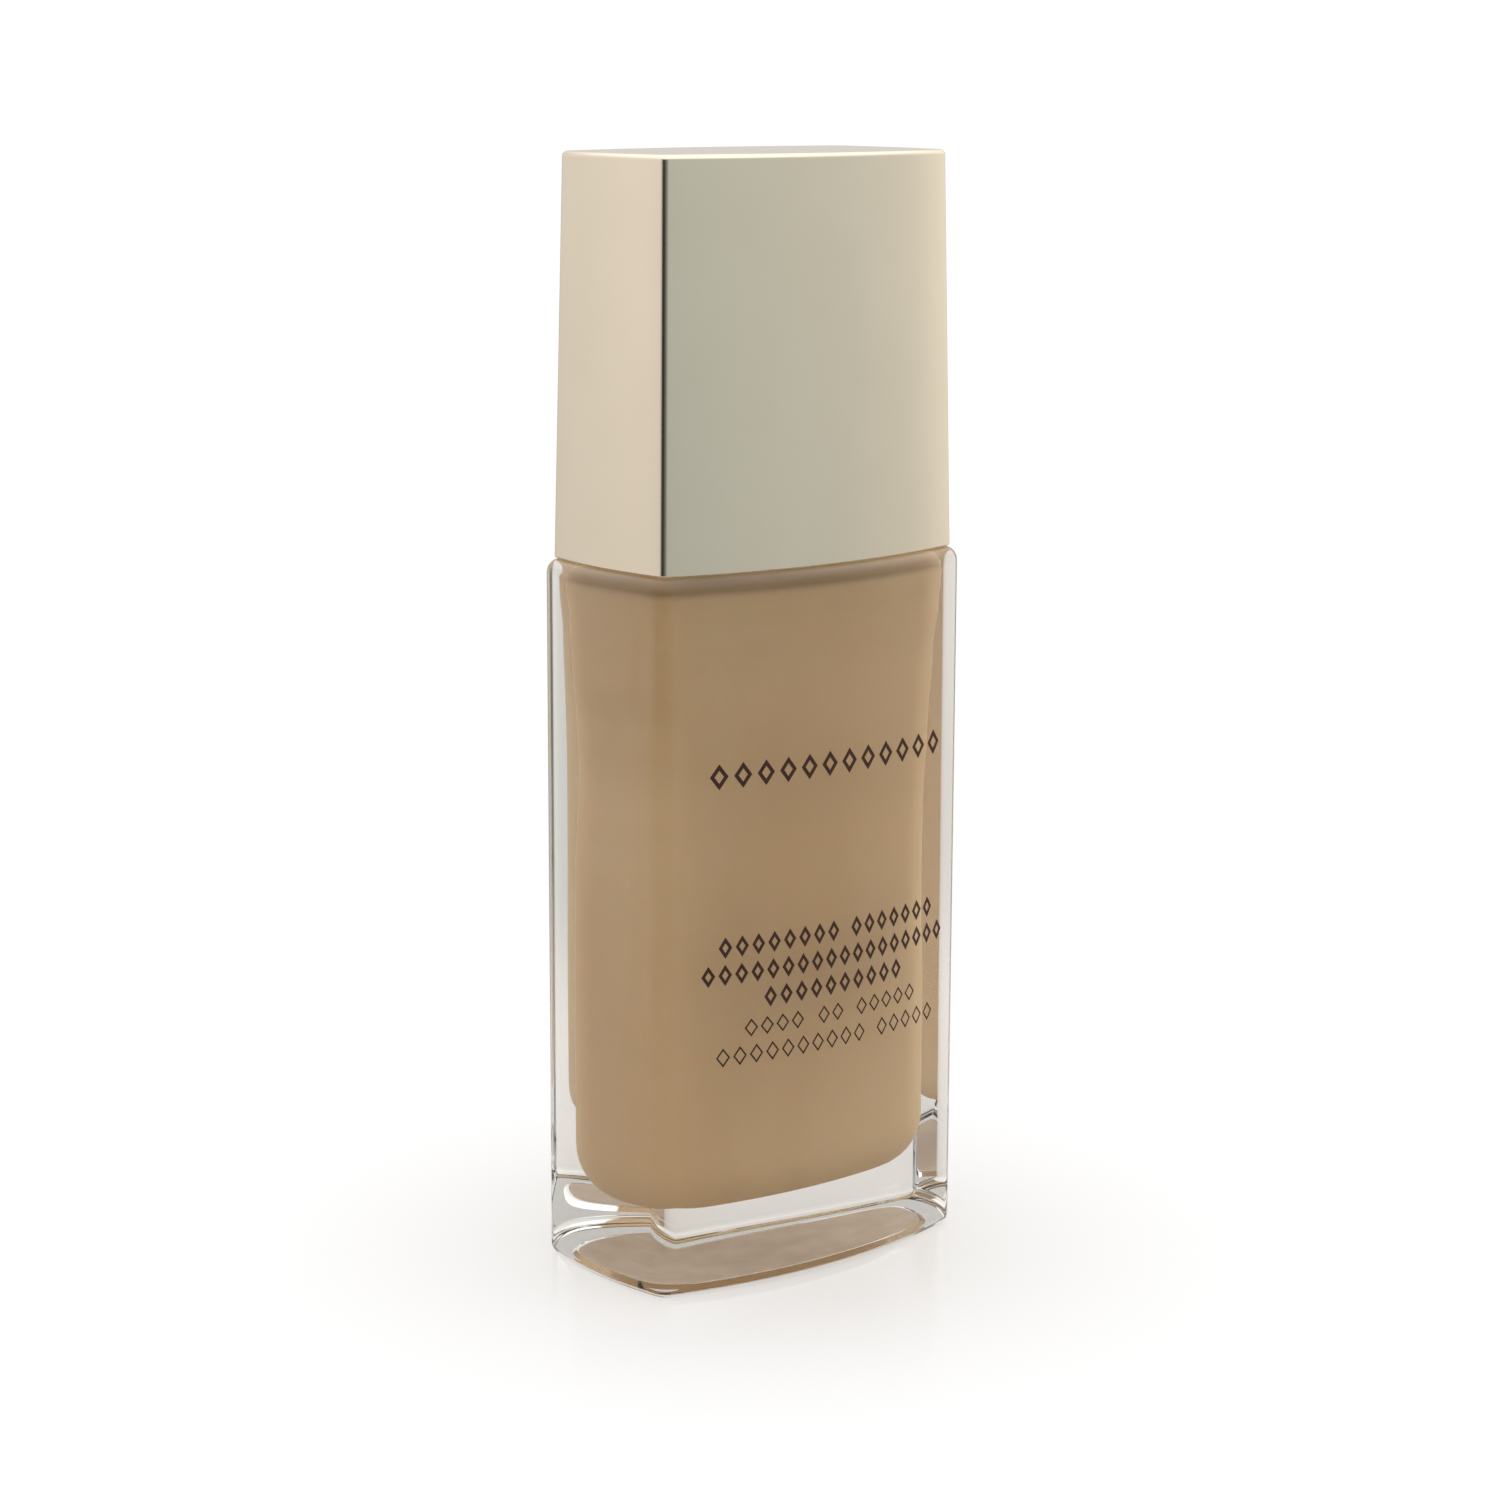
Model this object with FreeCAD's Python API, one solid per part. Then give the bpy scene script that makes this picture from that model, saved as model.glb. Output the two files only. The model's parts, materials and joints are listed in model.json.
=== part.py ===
import FreeCAD, Part
import math
import os

from FreeCAD import Vector

# Foundation bottle: a thick glass body, a treatment pump held by a screw collar, and a metal overcap.
# Millimetres. +Z is up and the origin is the centre of the base. Width runs along X, and the front,
# where the pump's nozzle points, faces -Y. Each piece is its own solid in its own file.

# ---- Driving dimensions ----

# Plan of the bottle: a rectangle whose four sides are bowed outwards as circular arcs.
BODY_WIDTH = 40.0
FRONT_CORNER_Y = 9.39        # half depth where the front and side arcs would meet
FRONT_BOW = 3.20             # how far the front arc stands out at its middle
SIDE_BOW = 1.06              # how far the side arc stands out at its middle
GLASS_CORNER_RADIUS = 2.4

# Glass body
GLASS_HEIGHT = 70.7          # base to shoulder
SHOULDER_ROUNDING = 1.4
FOOT_ROUNDING = 1.0
FOOT_RIM = 3.5               # width of the rim that the bottle stands on
PUNT_DEPTH = 0.35            # shallow recess inside that rim
PUNT_CORNER_RADIUS = 4.0
LABEL_MARGIN = 0.5           # recess's flat to the edge of the label stuck in it
LABEL_THICKNESS = 0.1
BASE_THICKNESS = 7.1
WALL_AT_FLOOR = 4.0
WALL_AT_SHOULDER = 3.4
SHOULDER_THICKNESS = 1.5
CAVITY_CORNER_RADIUS = 5.0
CAVITY_FLOOR_ROUNDING = 4.8
CAVITY_CEILING_ROUNDING = 1.2

# Neck and its thread
NECK_HEIGHT = 13.5
NECK_RADIUS = 7.5
NECK_BORE_RADIUS = 4.9
NECK_FOOT_FILLET = 1.2
RIM_ROUNDING = 0.4
THREAD_PITCH = 3.175
THREAD_DEPTH = 0.8
THREAD_TURNS = 1.6
THREAD_START = 4.5           # height of the thread's first turn above the shoulder
THREAD_BASE_WIDTH = 1.5
THREAD_CREST_WIDTH = 0.8
THREAD_BITE = 0.25           # how far a thread's root is sunk into the wall that carries it

# Screw collar and its metal sleeve
COLLAR_FOOT_GAP = 0.6
COLLAR_HEIGHT = 16.9
COLLAR_BORE_RADIUS = 8.5
COLLAR_WALL = 0.6
COLLAR_THREAD_DEPTH = 0.75
COLLAR_THREAD_TURNS = 1.5
COLLAR_THREAD_BASE_WIDTH = 1.15
COLLAR_THREAD_CREST_WIDTH = 0.7
SLEEVE_WALL = 0.3
SLEEVE_LIP_RADIUS = 6.0

# Pump
GASKET_THICKNESS = 0.8
FLANGE_RADIUS = 7.3
FLANGE_THICKNESS = 1.2
CHAMBER_RADIUS = 3.6
CHAMBER_DEPTH = 22.5
HOUSING_WALL = 0.8
TUBE_SOCKET_RADIUS = 2.6
TUBE_SOCKET_LENGTH = 5.6
TUBE_RADIUS = 1.65
TUBE_BORE_RADIUS = 1.0
TUBE_TIP_GAP = 1.5           # tube's open end to the cavity's floor
BALL_RADIUS = 1.2
BALL_CAGE_RADIUS = 1.45
BALL_CAGE_HEIGHT = 3.2
BALL_LIP_RADIUS = 1.0
BALL_LIP_THICKNESS = 0.6
BALL_SEAT_RADIUS = 0.8
BALL_SEAT_DEPTH = 0.65
BALL_SEAT_GAP = 0.03
STROKE = 4.2
STEM_RADIUS = 2.0
STEM_BORE_RADIUS = 1.0
PORT_RADIUS = 0.45
TURRET_RADIUS = 5.4
TURRET_WALL = 0.8
TURRET_FLANGE_THICKNESS = 1.0
TURRET_HEIGHT = 4.5
GUIDE_WALL = 0.92
GUIDE_LENGTH = 6.5
PISTON_LIP_RADIUS = 3.55
PISTON_WAIST_RADIUS = 3.05
PISTON_HEIGHT = 3.5
ROD_FLANGE_RADIUS = 3.1
ROD_FLANGE_THICKNESS = 1.2
ROD_SPIGOT_RADIUS = 1.6
ROD_SPIGOT_LENGTH = 2.6
ROD_KEY_LENGTH = 4.2
ROD_KEY_WIDTH = 1.1
SPRING_RADIUS = 2.6          # to the middle of the wire
SPRING_WIRE_RADIUS = 0.275
SPRING_TURNS = 7.5

# Push button
BUTTON_RADIUS = 7.4
BUTTON_HEIGHT = 12.7
BUTTON_WALL = 0.7
BUTTON_TOP_THICKNESS = 0.9
BUTTON_ROUNDING = 0.6
DISH_DEPTH = 0.4
DISH_RADIUS = 5.6
CORE_SKIRT_INSET = 0.7
CORE_BODY_THICKNESS = 5.5
CORE_BOSS_RADIUS = 3.2
CORE_BOSS_LENGTH = 3.7
CHANNEL_RADIUS = 0.9
NOZZLE_RADIUS = 1.6
NOZZLE_BORE_RADIUS = 0.8
NOZZLE_REACH = 8.7           # axis to the nozzle's tip
NOZZLE_ROOT = 4.5
NOZZLE_FLANGE_RADIUS = 1.95
NOZZLE_FLANGE_THICKNESS = 0.45

# Overcap
CAP_HEIGHT = 39.1
CAP_INSET_AT_MOUTH = 0.9     # from the glass outline, at the cap's open end
CAP_INSET_AT_TOP = 1.75
CAP_CORNER_RADIUS = 0.75
CAP_INNER_CORNER_RADIUS = 0.3
CAP_TOP_ROUNDING = 0.5
CAP_WALL = 0.7
CAP_TOP_THICKNESS = 0.9
LINER_WALL = 0.9
LINER_HEIGHT = 13.6
LINER_PLATE_THICKNESS = 1.25
LINER_RECESS = 0.3           # liner's plate is this far up inside the mouth
GRIP_WALL = 0.6
GRIP_FOOT = 0.85             # grip sleeve's lower end above the liner's plate underside
GRIP_STEP_HEIGHT = 0.8
GRIP_CEILING_THICKNESS = 1.2
GLUE_RING_RADIUS = 7.0
GLUE_RING_WIDTH = 1.0

# Gaps
RUNNING_GAP = 0.08           # between parts that turn or slide in each other
ASSEMBLY_GAP = 0.05          # between parts that are pressed or glued together
COLLAR_GRIP_GAP = 0.15       # cap's grip sleeve to the collar's metal sleeve
BUTTON_GAP = 0.3             # nozzle's tip to the grip sleeve
FILL_GAP = 0.35              # liquid to the pump's submerged parts

# ---- Levels along the axis, worked out from the driving dimensions ----

CAVITY_CEILING = GLASS_HEIGHT - SHOULDER_THICKNESS
NECK_TOP = GLASS_HEIGHT + NECK_HEIGHT
FLANGE_BOTTOM = NECK_TOP + GASKET_THICKNESS
FLANGE_TOP = FLANGE_BOTTOM + FLANGE_THICKNESS
TURRET_FLANGE_TOP = FLANGE_TOP + TURRET_FLANGE_THICKNESS
TURRET_TOP = FLANGE_TOP + TURRET_HEIGHT
GUIDE_BOTTOM = TURRET_TOP - GUIDE_LENGTH
CHAMBER_FLOOR = FLANGE_TOP - CHAMBER_DEPTH
CAGE_TOP = CHAMBER_FLOOR - BALL_LIP_THICKNESS
SEAT_TOP = CAGE_TOP - BALL_CAGE_HEIGHT
SEAT_BOTTOM = SEAT_TOP - BALL_SEAT_DEPTH
SOCKET_TOP = SEAT_BOTTOM - 1.1
SOCKET_BOTTOM = SOCKET_TOP - TUBE_SOCKET_LENGTH
TUBE_TIP = BASE_THICKNESS + TUBE_TIP_GAP
COLLAR_BOTTOM = GLASS_HEIGHT + COLLAR_FOOT_GAP
COLLAR_TOP = COLLAR_BOTTOM + COLLAR_HEIGHT
COLLAR_RADIUS = COLLAR_BORE_RADIUS + COLLAR_WALL
SLEEVE_RADIUS = COLLAR_RADIUS + SLEEVE_WALL
SLEEVE_TOP = COLLAR_TOP + SLEEVE_WALL
BUTTON_BOTTOM = SLEEVE_TOP + BUTTON_GAP + STROKE
BUTTON_TOP = BUTTON_BOTTOM + BUTTON_HEIGHT
CORE_TOP = BUTTON_TOP - BUTTON_TOP_THICKNESS - ASSEMBLY_GAP
CORE_BODY_BOTTOM = CORE_TOP - CORE_BODY_THICKNESS
CORE_BOSS_BOTTOM = CORE_BODY_BOTTOM - CORE_BOSS_LENGTH
CHANNEL_LEVEL = CORE_BODY_BOTTOM + CORE_BODY_THICKNESS / 2
STEM_TOP = CHANNEL_LEVEL - CHANNEL_RADIUS - 0.6
PISTON_TOP = GUIDE_BOTTOM - ASSEMBLY_GAP
PISTON_BOTTOM = PISTON_TOP - PISTON_HEIGHT
ROD_FLANGE_TOP = PISTON_BOTTOM - ASSEMBLY_GAP
ROD_FLANGE_BOTTOM = ROD_FLANGE_TOP - ROD_FLANGE_THICKNESS
CAP_BOTTOM = GLASS_HEIGHT + ASSEMBLY_GAP
CAP_TOP = CAP_BOTTOM + CAP_HEIGHT
CAP_CEILING = CAP_TOP - CAP_TOP_THICKNESS
LINER_BOTTOM = CAP_BOTTOM + LINER_RECESS
GRIP_BOTTOM = LINER_BOTTOM + GRIP_FOOT
GRIP_STEP = SLEEVE_TOP + GRIP_STEP_HEIGHT
GLUE_RING_TOP = CAP_CEILING - ASSEMBLY_GAP
GRIP_TOP = GLUE_RING_TOP - GLUE_RING_WIDTH
GRIP_CEILING = GRIP_TOP - GRIP_CEILING_THICKNESS
GRIP_BORE_RADIUS = SLEEVE_RADIUS + COLLAR_GRIP_GAP
GRIP_UPPER_RADIUS = NOZZLE_REACH + BUTTON_GAP

AXIS = Vector(0, 0, 1)
FRONT = Vector(0, -1, 0)
ORIGIN = Vector(0, 0, 0)


# ---- The bowed rectangle that the glass and the cap share ----

SIDE_CORNER_X = BODY_WIDTH / 2 - SIDE_BOW
FRONT_ARC_RADIUS = (SIDE_CORNER_X ** 2 + FRONT_BOW ** 2) / (2 * FRONT_BOW)
SIDE_ARC_RADIUS = (FRONT_CORNER_Y ** 2 + SIDE_BOW ** 2) / (2 * SIDE_BOW)
FRONT_ARC_CENTRE = Vector(0, FRONT_ARC_RADIUS - FRONT_CORNER_Y - FRONT_BOW, 0)
SIDE_ARC_CENTRE = Vector(BODY_WIDTH / 2 - SIDE_ARC_RADIUS, 0, 0)


def corner_centre(front_reach, side_reach):
    """Point in the front right quarter at these distances from the front and side arcs' centres."""
    span = SIDE_ARC_CENTRE - FRONT_ARC_CENTRE
    distance = span.Length
    along = (front_reach ** 2 - side_reach ** 2 + distance ** 2) / (2 * distance)
    across = math.sqrt(front_reach ** 2 - along ** 2)
    direction = span.normalize()
    sideways = Vector(-direction.y, direction.x, 0)
    return FRONT_ARC_CENTRE + direction * along + sideways * across


def mirrored(point, x_sign, y_sign, z):
    return Vector(point.x * x_sign, point.y * y_sign, z)


def bowed_wire(inset, corner_radius, z):
    """The bottle's outline at height z, moved in by inset, with its own corner radius."""
    front_radius = FRONT_ARC_RADIUS - inset
    side_radius = SIDE_ARC_RADIUS - inset
    centre = corner_centre(front_radius - corner_radius, side_radius - corner_radius)
    to_front = (centre - FRONT_ARC_CENTRE).normalize()
    to_side = (centre - SIDE_ARC_CENTRE).normalize()
    on_front = FRONT_ARC_CENTRE + to_front * front_radius
    on_side = SIDE_ARC_CENTRE + to_side * side_radius
    on_corner = centre + (to_front + to_side).normalize() * corner_radius
    front_middle = Vector(0, FRONT_ARC_CENTRE.y - front_radius, 0)
    side_middle = Vector(SIDE_ARC_CENTRE.x + side_radius, 0, 0)

    def arc(first, first_signs, middle, middle_signs, last, last_signs):
        return Part.Arc(mirrored(first, *first_signs, z), mirrored(middle, *middle_signs, z),
                        mirrored(last, *last_signs, z)).toShape()

    right_front, right_back, left_back, left_front = (1, 1), (1, -1), (-1, -1), (-1, 1)
    return Part.Wire([
        arc(on_front, left_front, front_middle, right_front, on_front, right_front),
        arc(on_front, right_front, on_corner, right_front, on_side, right_front),
        arc(on_side, right_front, side_middle, right_front, on_side, right_back),
        arc(on_side, right_back, on_corner, right_back, on_front, right_back),
        arc(on_front, right_back, front_middle, right_back, on_front, left_back),
        arc(on_front, left_back, on_corner, left_back, on_side, left_back),
        arc(on_side, left_back, side_middle, left_front, on_side, left_front),
        arc(on_side, left_front, on_corner, left_front, on_front, left_front),
    ])


def bowed_block(bottom_inset, top_inset, corner_radius, bottom, top):
    """Solid between two of those outlines."""
    wires = [bowed_wire(bottom_inset, corner_radius, bottom), bowed_wire(top_inset, corner_radius, top)]
    return Part.makeLoft(wires, True, True)


def cap_inset(z):
    """Inset of the cap's tapering outer wall at height z."""
    share = (z - CAP_BOTTOM) / CAP_HEIGHT
    return CAP_INSET_AT_MOUTH + (CAP_INSET_AT_TOP - CAP_INSET_AT_MOUTH) * share


def cap_block(extra_inset, corner_radius, bottom, top):
    """Block that follows the cap's taper, moved in from its outer wall by extra_inset."""
    return bowed_block(cap_inset(bottom) + extra_inset, cap_inset(top) + extra_inset, corner_radius,
                       bottom, top)


# ---- Round parts and threads ----

def turned(profile):
    """Solid of revolution from its closed (radius, height) outline."""
    points = [Vector(radius, 0, z) for radius, z in profile]
    face = Part.Face(Part.makePolygon(points + points[:1]))
    return face.revolve(ORIGIN, AXIS, 360)


def cylinder(radius, bottom, top):
    return Part.makeCylinder(radius, top - bottom, Vector(0, 0, bottom), AXIS)


def tube(outer_radius, inner_radius, bottom, top):
    return turned([(inner_radius, bottom), (outer_radius, bottom), (outer_radius, top), (inner_radius, top)])


def edges_at(solid, z):
    """Edges of the solid that lie wholly at height z."""
    tolerance = 1e-4
    return [edge for edge in solid.Edges
            if abs(edge.BoundBox.ZMin - z) < tolerance and abs(edge.BoundBox.ZMax - z) < tolerance]


def thread_ridge(root_radius, crest_radius, start, turns, base_width, crest_width):
    """Helical ridge with a trapezium section, whose root runs at root_radius."""
    helix = Part.makeHelix(THREAD_PITCH, THREAD_PITCH * turns, root_radius)
    corners = [
        Vector(root_radius, 0, -base_width / 2),
        Vector(crest_radius, 0, -crest_width / 2),
        Vector(crest_radius, 0, crest_width / 2),
        Vector(root_radius, 0, base_width / 2),
    ]
    section = Part.makePolygon(corners + corners[:1])
    ridge = Part.Wire(helix.Edges).makePipeShell([section], True, True)
    ridge.translate(Vector(0, 0, start))
    return ridge


# ---- Glass and liquid ----

def cavity():
    """The space inside the body, below the neck's bore."""
    block = bowed_block(WALL_AT_FLOOR, WALL_AT_SHOULDER, CAVITY_CORNER_RADIUS, BASE_THICKNESS, CAVITY_CEILING)
    block = block.makeFillet(CAVITY_FLOOR_ROUNDING, edges_at(block, BASE_THICKNESS))
    return block.makeFillet(CAVITY_CEILING_ROUNDING, edges_at(block, CAVITY_CEILING))


def glass_bottle():
    body = bowed_block(0, 0, GLASS_CORNER_RADIUS, 0, GLASS_HEIGHT)
    body = body.makeFillet(SHOULDER_ROUNDING, edges_at(body, GLASS_HEIGHT))
    body = body.makeFillet(FOOT_ROUNDING, edges_at(body, 0))
    punt = bowed_block(FOOT_RIM, FOOT_RIM + PUNT_DEPTH, PUNT_CORNER_RADIUS, 0, PUNT_DEPTH)
    body = body.cut(punt)
    fillet_top = GLASS_HEIGHT + NECK_FOOT_FILLET
    neck = cylinder(NECK_RADIUS, GLASS_HEIGHT - 1, NECK_TOP)
    neck = neck.makeFillet(RIM_ROUNDING, edges_at(neck, NECK_TOP))
    cone = Part.makeCone(NECK_RADIUS + NECK_FOOT_FILLET, NECK_RADIUS, NECK_FOOT_FILLET,
                         Vector(0, 0, GLASS_HEIGHT), AXIS)
    scoop = Part.makeTorus(NECK_RADIUS + NECK_FOOT_FILLET, NECK_FOOT_FILLET, Vector(0, 0, fillet_top), AXIS)
    thread = thread_ridge(NECK_RADIUS - THREAD_BITE, NECK_RADIUS + THREAD_DEPTH,
                          GLASS_HEIGHT + THREAD_START, THREAD_TURNS, THREAD_BASE_WIDTH, THREAD_CREST_WIDTH)
    outside = body.fuse(neck).fuse(cone.cut(scoop)).fuse(thread)
    bore = cylinder(NECK_BORE_RADIUS, CAVITY_CEILING - 1, NECK_TOP + 1)
    return outside.cut(cavity()).cut(bore)


def foundation_fill():
    """The liquid: the whole cavity, less the room that the pump and its tube need as they lift out."""
    tube_room = cylinder(TUBE_RADIUS + FILL_GAP, TUBE_TIP - FILL_GAP, CAVITY_CEILING + 1)
    socket_room = cylinder(TUBE_SOCKET_RADIUS + FILL_GAP, SOCKET_BOTTOM - FILL_GAP, CAVITY_CEILING + 1)
    chamber_room = cylinder(NECK_BORE_RADIUS, SEAT_TOP - FILL_GAP, CAVITY_CEILING + 1)
    return cavity().cut(tube_room).cut(socket_room).cut(chamber_room)


def base_label():
    """Thin shade label, stuck to the glass inside the recess under the base."""
    inset = FOOT_RIM + PUNT_DEPTH + LABEL_MARGIN
    corner = PUNT_CORNER_RADIUS - LABEL_MARGIN
    return bowed_block(inset, inset, corner, PUNT_DEPTH - LABEL_THICKNESS, PUNT_DEPTH)


# ---- Screw collar ----

def neck_gasket():
    return tube(FLANGE_RADIUS, NECK_BORE_RADIUS, NECK_TOP, FLANGE_BOTTOM)


def pump_collar():
    """Threaded closure. Its plate presses the turret's flange, the housing and the gasket on the rim."""
    plate_bottom = TURRET_FLANGE_TOP + ASSEMBLY_GAP
    shell = turned([
        (COLLAR_BORE_RADIUS, COLLAR_BOTTOM),
        (COLLAR_RADIUS, COLLAR_BOTTOM),
        (COLLAR_RADIUS, COLLAR_TOP),
        (TURRET_RADIUS + RUNNING_GAP, COLLAR_TOP),
        (TURRET_RADIUS + RUNNING_GAP, plate_bottom),
        (COLLAR_BORE_RADIUS, plate_bottom),
    ])
    start = GLASS_HEIGHT + THREAD_START - THREAD_PITCH / 2
    thread = thread_ridge(COLLAR_BORE_RADIUS + THREAD_BITE, COLLAR_BORE_RADIUS - COLLAR_THREAD_DEPTH,
                          start, COLLAR_THREAD_TURNS, COLLAR_THREAD_BASE_WIDTH, COLLAR_THREAD_CREST_WIDTH)
    return shell.fuse(thread)


def collar_sleeve():
    return turned([
        (COLLAR_RADIUS, COLLAR_BOTTOM),
        (SLEEVE_RADIUS, COLLAR_BOTTOM),
        (SLEEVE_RADIUS, SLEEVE_TOP - SLEEVE_WALL / 2),
        (SLEEVE_RADIUS - SLEEVE_WALL / 2, SLEEVE_TOP),
        (SLEEVE_LIP_RADIUS, SLEEVE_TOP),
        (SLEEVE_LIP_RADIUS, COLLAR_TOP),
        (COLLAR_RADIUS, COLLAR_TOP),
    ])


# ---- Pump ----

def pump_housing():
    """Cylinder with its flange on top, then the ball's cage and seat, and the dip tube's socket."""
    outer_radius = CHAMBER_RADIUS + HOUSING_WALL
    return turned([
        (CHAMBER_RADIUS, FLANGE_TOP),
        (FLANGE_RADIUS, FLANGE_TOP),
        (FLANGE_RADIUS, FLANGE_BOTTOM),
        (outer_radius, FLANGE_BOTTOM),
        (outer_radius, CHAMBER_FLOOR - HOUSING_WALL / 2),
        (TUBE_SOCKET_RADIUS, SEAT_TOP),
        (TUBE_SOCKET_RADIUS, SOCKET_BOTTOM),
        (TUBE_RADIUS, SOCKET_BOTTOM),
        (TUBE_RADIUS, SOCKET_TOP),
        (BALL_SEAT_RADIUS, SOCKET_TOP),
        (BALL_SEAT_RADIUS, SEAT_BOTTOM),
        (BALL_CAGE_RADIUS, SEAT_TOP),
        (BALL_CAGE_RADIUS, CAGE_TOP),
        (BALL_LIP_RADIUS, CAGE_TOP),
        (BALL_LIP_RADIUS, CHAMBER_FLOOR),
        (CHAMBER_RADIUS, CHAMBER_FLOOR),
    ])


def housing_turret():
    """Inverted cup clipped over the housing. Its guide tube holds the stem and stops the piston."""
    guide_bore = STEM_RADIUS + RUNNING_GAP
    guide_radius = guide_bore + GUIDE_WALL
    cup_bore = TURRET_RADIUS - TURRET_WALL
    return turned([
        (guide_bore, GUIDE_BOTTOM),
        (guide_radius, GUIDE_BOTTOM),
        (guide_radius, TURRET_TOP - TURRET_WALL),
        (cup_bore, TURRET_TOP - TURRET_WALL),
        (cup_bore, FLANGE_TOP),
        (FLANGE_RADIUS, FLANGE_TOP),
        (FLANGE_RADIUS, TURRET_FLANGE_TOP),
        (TURRET_RADIUS, TURRET_FLANGE_TOP),
        (TURRET_RADIUS, TURRET_TOP),
        (guide_bore, TURRET_TOP),
    ])


def dip_tube():
    """Tube pressed into the socket, with its lower end cut at a slant so that it can't seal on the floor."""
    pipe = tube(TUBE_RADIUS, TUBE_BORE_RADIUS, TUBE_TIP, SOCKET_TOP)
    width = 4 * TUBE_RADIUS
    wedge = Part.makeBox(width, width, width, Vector(-width / 2, -width / 2, -width))
    wedge.rotate(ORIGIN, Vector(1, 0, 0), 35)
    wedge.translate(Vector(0, 0, TUBE_TIP + TUBE_RADIUS))
    return pipe.cut(wedge)


def ball_rest_level():
    """Centre height of the ball as it sits on its conical seat."""
    slope = math.atan2(BALL_SEAT_DEPTH, BALL_CAGE_RADIUS - BALL_SEAT_RADIUS)
    contact_radius = BALL_RADIUS * math.sin(slope)
    contact_level = SEAT_BOTTOM + (contact_radius - BALL_SEAT_RADIUS) * math.tan(slope)
    return contact_level + BALL_RADIUS * math.cos(slope) + BALL_SEAT_GAP


def inlet_ball():
    return Part.makeSphere(BALL_RADIUS, Vector(0, 0, ball_rest_level()))


def return_spring():
    bottom = CHAMBER_FLOOR + ASSEMBLY_GAP + SPRING_WIRE_RADIUS
    top = ROD_FLANGE_BOTTOM - ASSEMBLY_GAP - SPRING_WIRE_RADIUS
    pitch = (top - bottom) / SPRING_TURNS
    helix = Part.makeHelix(pitch, top - bottom, SPRING_RADIUS)
    wire_start = Vector(SPRING_RADIUS, 0, 0)
    wire_direction = Vector(0, 2 * math.pi * SPRING_RADIUS, pitch)
    wire_section = Part.Wire(Part.makeCircle(SPRING_WIRE_RADIUS, wire_start, wire_direction))
    spring = Part.Wire(helix.Edges).makePipeShell([wire_section], True, True)
    spring.translate(Vector(0, 0, bottom))
    return spring


def piston():
    """Seal with two sharp lips that wipe the chamber's wall."""
    bore = STEM_RADIUS + RUNNING_GAP
    lip = 0.5
    return turned([
        (bore, PISTON_BOTTOM),
        (PISTON_WAIST_RADIUS, PISTON_BOTTOM),
        (PISTON_LIP_RADIUS, PISTON_BOTTOM + lip / 2),
        (PISTON_LIP_RADIUS, PISTON_BOTTOM + lip),
        (PISTON_WAIST_RADIUS, PISTON_BOTTOM + 2 * lip),
        (PISTON_WAIST_RADIUS, PISTON_TOP - 2 * lip),
        (PISTON_LIP_RADIUS, PISTON_TOP - lip),
        (PISTON_LIP_RADIUS, PISTON_TOP - lip / 2),
        (PISTON_WAIST_RADIUS, PISTON_TOP),
        (bore, PISTON_TOP),
    ])


def piston_rod():
    """Plug under the stem: a flange between spring and piston, a spigot in the spring, a key in the stem."""
    flange = cylinder(ROD_FLANGE_RADIUS, ROD_FLANGE_BOTTOM, ROD_FLANGE_TOP)
    spigot = cylinder(ROD_SPIGOT_RADIUS, ROD_FLANGE_BOTTOM - ROD_SPIGOT_LENGTH, ROD_FLANGE_BOTTOM)
    key = cylinder(STEM_BORE_RADIUS, ROD_FLANGE_TOP, ROD_FLANGE_TOP + ROD_KEY_LENGTH)
    key_room = Part.makeBox(4 * STEM_RADIUS, ROD_KEY_WIDTH, ROD_KEY_LENGTH,
                            Vector(-2 * STEM_RADIUS, -ROD_KEY_WIDTH / 2, ROD_FLANGE_TOP))
    return flange.fuse(spigot).fuse(key.common(key_room))


def pump_stem():
    """Hollow stem, cross-drilled low down where the piston covers the ports."""
    stem = tube(STEM_RADIUS, STEM_BORE_RADIUS, ROD_FLANGE_TOP, STEM_TOP)
    port_level = ROD_FLANGE_TOP + 1.2
    port = Part.makeCylinder(PORT_RADIUS, 4 * STEM_RADIUS, Vector(0, -2 * STEM_RADIUS, port_level),
                             Vector(0, 1, 0))
    return stem.cut(port)


# ---- Push button ----

def front_cylinder(radius, start, end):
    """Cylinder along the nozzle's line, between two distances from the pump's axis."""
    return Part.makeCylinder(radius, end - start, FRONT * start + Vector(0, 0, CHANNEL_LEVEL), FRONT)


def actuator_core():
    """Inner moulding: skirt, body with the outlet channel, and the boss that grips the stem."""
    radius = BUTTON_RADIUS - BUTTON_WALL - ASSEMBLY_GAP
    core = turned([
        (0, CORE_TOP),
        (radius, CORE_TOP),
        (radius, BUTTON_BOTTOM + CORE_SKIRT_INSET),
        (radius - BUTTON_WALL, BUTTON_BOTTOM + CORE_SKIRT_INSET),
        (radius - BUTTON_WALL, CORE_BODY_BOTTOM),
        (CORE_BOSS_RADIUS, CORE_BODY_BOTTOM),
        (CORE_BOSS_RADIUS, CORE_BOSS_BOTTOM),
        (STEM_RADIUS, CORE_BOSS_BOTTOM),
        (STEM_RADIUS, STEM_TOP),
        (0, STEM_TOP),
    ])
    riser = cylinder(CHANNEL_RADIUS, STEM_TOP - 0.1, CHANNEL_LEVEL)
    channel = front_cylinder(CHANNEL_RADIUS, 0, BUTTON_RADIUS)
    socket = front_cylinder(NOZZLE_RADIUS, NOZZLE_ROOT, BUTTON_RADIUS)
    return core.cut(riser).cut(channel).cut(socket)


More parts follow.
